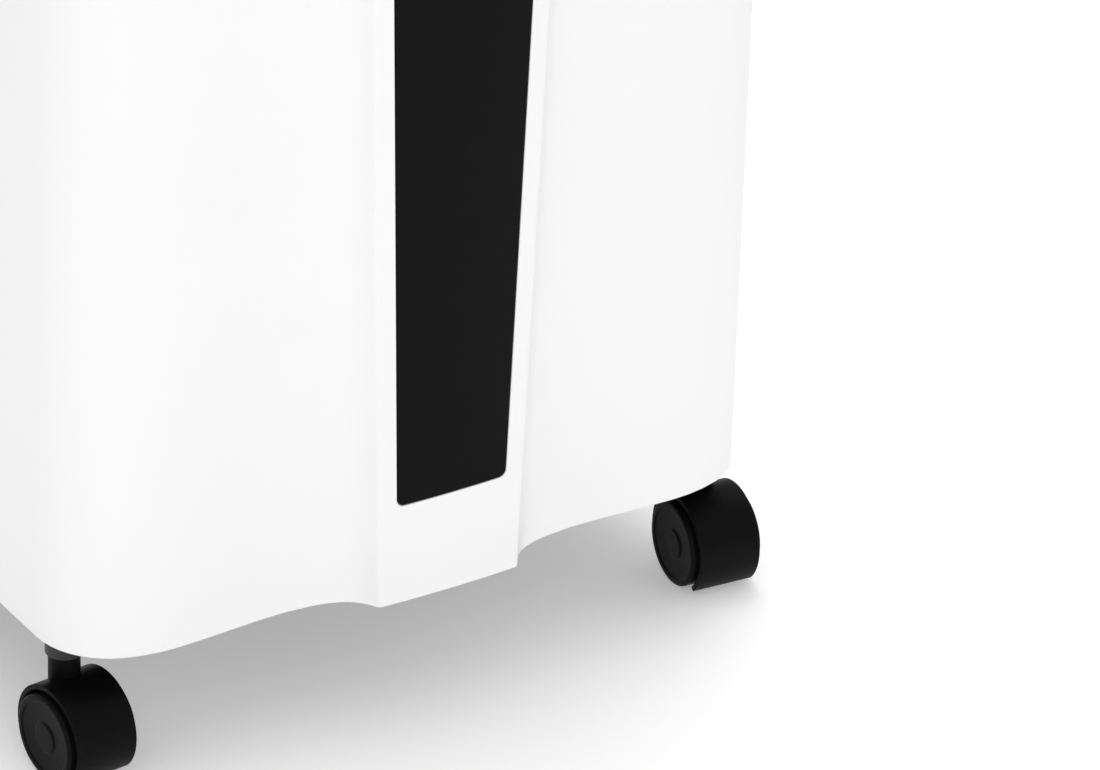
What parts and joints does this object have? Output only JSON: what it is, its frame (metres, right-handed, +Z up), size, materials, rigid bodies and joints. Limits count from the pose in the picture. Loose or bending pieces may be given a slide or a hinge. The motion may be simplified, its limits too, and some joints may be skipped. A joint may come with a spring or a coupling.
{
  "type": "dehumidifier",
  "caption": "Upright compressor dehumidifier with a tapered front column and dark inset strip, rear water bucket, top outlet flap and hooded twin-wheel casters.",
  "frame": {"origin": "centre of the footprint, on the floor under the wheels", "axes": "+Z up, -Y is the front with the column and strip, +X is to the right seen from the front"},
  "size_m": [0.4104, 0.282, 0.6004],
  "materials": {
    "casing_white": "satin white moulded plastic",
    "strip_black": "satin black",
    "trim_black": "fine texture",
    "panel_black": "gloss",
    "display_glass": "gloss",
    "button_grey": "satin",
    "inner_grey": "plain",
    "filter_net": "woven net",
    "tank_frost": "frosted",
    "float_orange": "plain",
    "rubber": "plain",
    "compressor_black": "satin paint",
    "zinc": "zinc plated",
    "fin_aluminium": "rolled sheet",
    "copper": "drawn copper",
    "board_green": "lacquered",
    "sensor_white": "plain",
    "caster_black": "satin",
    "axle_steel": "ground",
    "wheel_black": "satin nylon"
  },
  "bodies": {
    "root": {"front_shell": "casing_white", "front_strip": "strip_black", "rear_shell": "casing_white", "base_pan": "trim_black", "top_cover": "casing_white", "control_panel": "panel_black", "display_window": "display_glass", "outlet_guard": "trim_black", "flap_motor": "inner_grey", "intake_grille": "trim_black", "level_switch": "trim_black", "bucket_bay": "inner_grey", "drip_tray": "inner_grey", "drain_nozzle": "trim_black", "compressor": "compressor_black", "compressor_grommets": "rubber", "compressor_studs": "zinc", "accumulator": "compressor_black", "evaporator_fins": "fin_aluminium", "evaporator_tubes": "copper", "condenser_fins": "fin_aluminium", "condenser_tubes": "copper", "refrigerant_pipes": "copper", "coil_shroud": "inner_grey", "fan_motor": "inner_grey", "fan_scroll": "inner_grey", "board_box": "trim_black", "control_board": "board_green", "run_capacitor": "zinc", "humidity_sensor": "sensor_white", "cord_gland": "trim_black", "grip_cups": "trim_black", "case_screws": "zinc"},
    "power_button": {"power_button": "button_grey"},
    "mode_button": {"mode_button": "button_grey"},
    "timer_button": {"timer_button": "button_grey"},
    "more_button": {"more_button": "button_grey"},
    "less_button": {"less_button": "button_grey"},
    "outlet_flap": {"outlet_flap": "casing_white"},
    "filter": {"filter_frame": "inner_grey", "filter_mesh": "filter_net"},
    "bucket": {"bucket": "tank_frost", "bucket_lid": "tank_frost"},
    "bucket_handle": {"bucket_handle": "trim_black"},
    "bucket_float": {"bucket_float": "float_orange"},
    "drain_plug": {"drain_plug": "rubber"},
    "blower": {"blower_wheel": "inner_grey", "blower_shaft": "zinc"},
    "caster_fr": {"caster_fr_frame": "caster_black"},
    "caster_fr_wheels": {"caster_fr_axle": "axle_steel", "caster_fr_wheels": "wheel_black"},
    "caster_fl": {"caster_fl_frame": "caster_black"},
    "caster_fl_wheels": {"caster_fl_axle": "axle_steel", "caster_fl_wheels": "wheel_black"},
    "caster_rr": {"caster_rr_frame": "caster_black"},
    "caster_rr_wheels": {"caster_rr_axle": "axle_steel", "caster_rr_wheels": "wheel_black"},
    "caster_rl": {"caster_rl_frame": "caster_black"},
    "caster_rl_wheels": {"caster_rl_axle": "axle_steel", "caster_rl_wheels": "wheel_black"}
  },
  "joints": [
    {"name": "power_button_press", "type": "slide", "parent": "root", "child": "power_button", "axis": [0, 0, -1], "range_m": [0, 0.001], "stiffness_N_per_m": 400, "springref_m": -0.001},
    {"name": "mode_button_press", "type": "slide", "parent": "root", "child": "mode_button", "axis": [0, 0, -1], "range_m": [0, 0.001], "stiffness_N_per_m": 400, "springref_m": -0.001},
    {"name": "timer_button_press", "type": "slide", "parent": "root", "child": "timer_button", "axis": [0, 0, -1], "range_m": [0, 0.001], "stiffness_N_per_m": 400, "springref_m": -0.001},
    {"name": "more_button_press", "type": "slide", "parent": "root", "child": "more_button", "axis": [0, 0, -1], "range_m": [0, 0.001], "stiffness_N_per_m": 400, "springref_m": -0.001},
    {"name": "less_button_press", "type": "slide", "parent": "root", "child": "less_button", "axis": [0, 0, -1], "range_m": [0, 0.001], "stiffness_N_per_m": 400, "springref_m": -0.001},
    {"name": "outlet_flap_open", "type": "hinge", "parent": "root", "child": "outlet_flap", "pos_m": [0, -0.0178, 0.595], "axis": [-1, 0, 0], "range_deg": [0, 70]},
    {"name": "filter_lift", "type": "slide", "parent": "root", "child": "filter", "axis": [0, 0, 1], "range_m": [0, 0.24]},
    {"name": "bucket_slide", "type": "slide", "parent": "root", "child": "bucket", "axis": [0, 1, 0], "range_m": [0, 0.13]},
    {"name": "bucket_handle_swing", "type": "hinge", "parent": "bucket", "child": "bucket_handle", "pos_m": [0, 0.066, 0.2316], "axis": [1, 0, 0], "range_deg": [0, 100]},
    {"name": "float_rise", "type": "slide", "parent": "bucket", "child": "bucket_float", "axis": [0, 0, 1], "range_m": [0, 0.014]},
    {"name": "drain_plug_pull", "type": "slide", "parent": "root", "child": "drain_plug", "axis": [0, 1, 0], "range_m": [0, 0.02]},
    {"name": "blower_spin", "type": "hinge", "parent": "root", "child": "blower", "pos_m": [-0.063, -0.036, 0.43], "axis": [0, 1, 0], "continuous": true},
    {"name": "caster_fr_swivel", "type": "hinge", "parent": "root", "child": "caster_fr", "pos_m": [0.1845, -0.084, 0.06], "axis": [0, 0, 1], "continuous": true},
    {"name": "caster_fr_wheels_roll", "type": "hinge", "parent": "caster_fr", "child": "caster_fr_wheels", "pos_m": [0.18352, -0.09496, 0.0225], "axis": [0.996, -0.0889, 0], "continuous": true},
    {"name": "caster_fl_swivel", "type": "hinge", "parent": "root", "child": "caster_fl", "pos_m": [-0.1845, -0.084, 0.06], "axis": [0, 0, 1], "continuous": true},
    {"name": "caster_fl_wheels_roll", "type": "hinge", "parent": "caster_fl", "child": "caster_fl_wheels", "pos_m": [-0.18352, -0.09496, 0.0225], "axis": [0.996, 0.0889, 0], "continuous": true},
    {"name": "caster_rr_swivel", "type": "hinge", "parent": "root", "child": "caster_rr", "pos_m": [0.1845, 0.084, 0.06], "axis": [0, 0, 1], "continuous": true},
    {"name": "caster_rr_wheels_roll", "type": "hinge", "parent": "caster_rr", "child": "caster_rr_wheels", "pos_m": [0.18352, 0.07304, 0.0225], "axis": [0.996, -0.0889, 0], "continuous": true},
    {"name": "caster_rl_swivel", "type": "hinge", "parent": "root", "child": "caster_rl", "pos_m": [-0.1845, 0.084, 0.06], "axis": [0, 0, 1], "continuous": true},
    {"name": "caster_rl_wheels_roll", "type": "hinge", "parent": "caster_rl", "child": "caster_rl_wheels", "pos_m": [-0.18352, 0.07304, 0.0225], "axis": [0.996, 0.0889, 0], "continuous": true}
  ]
}
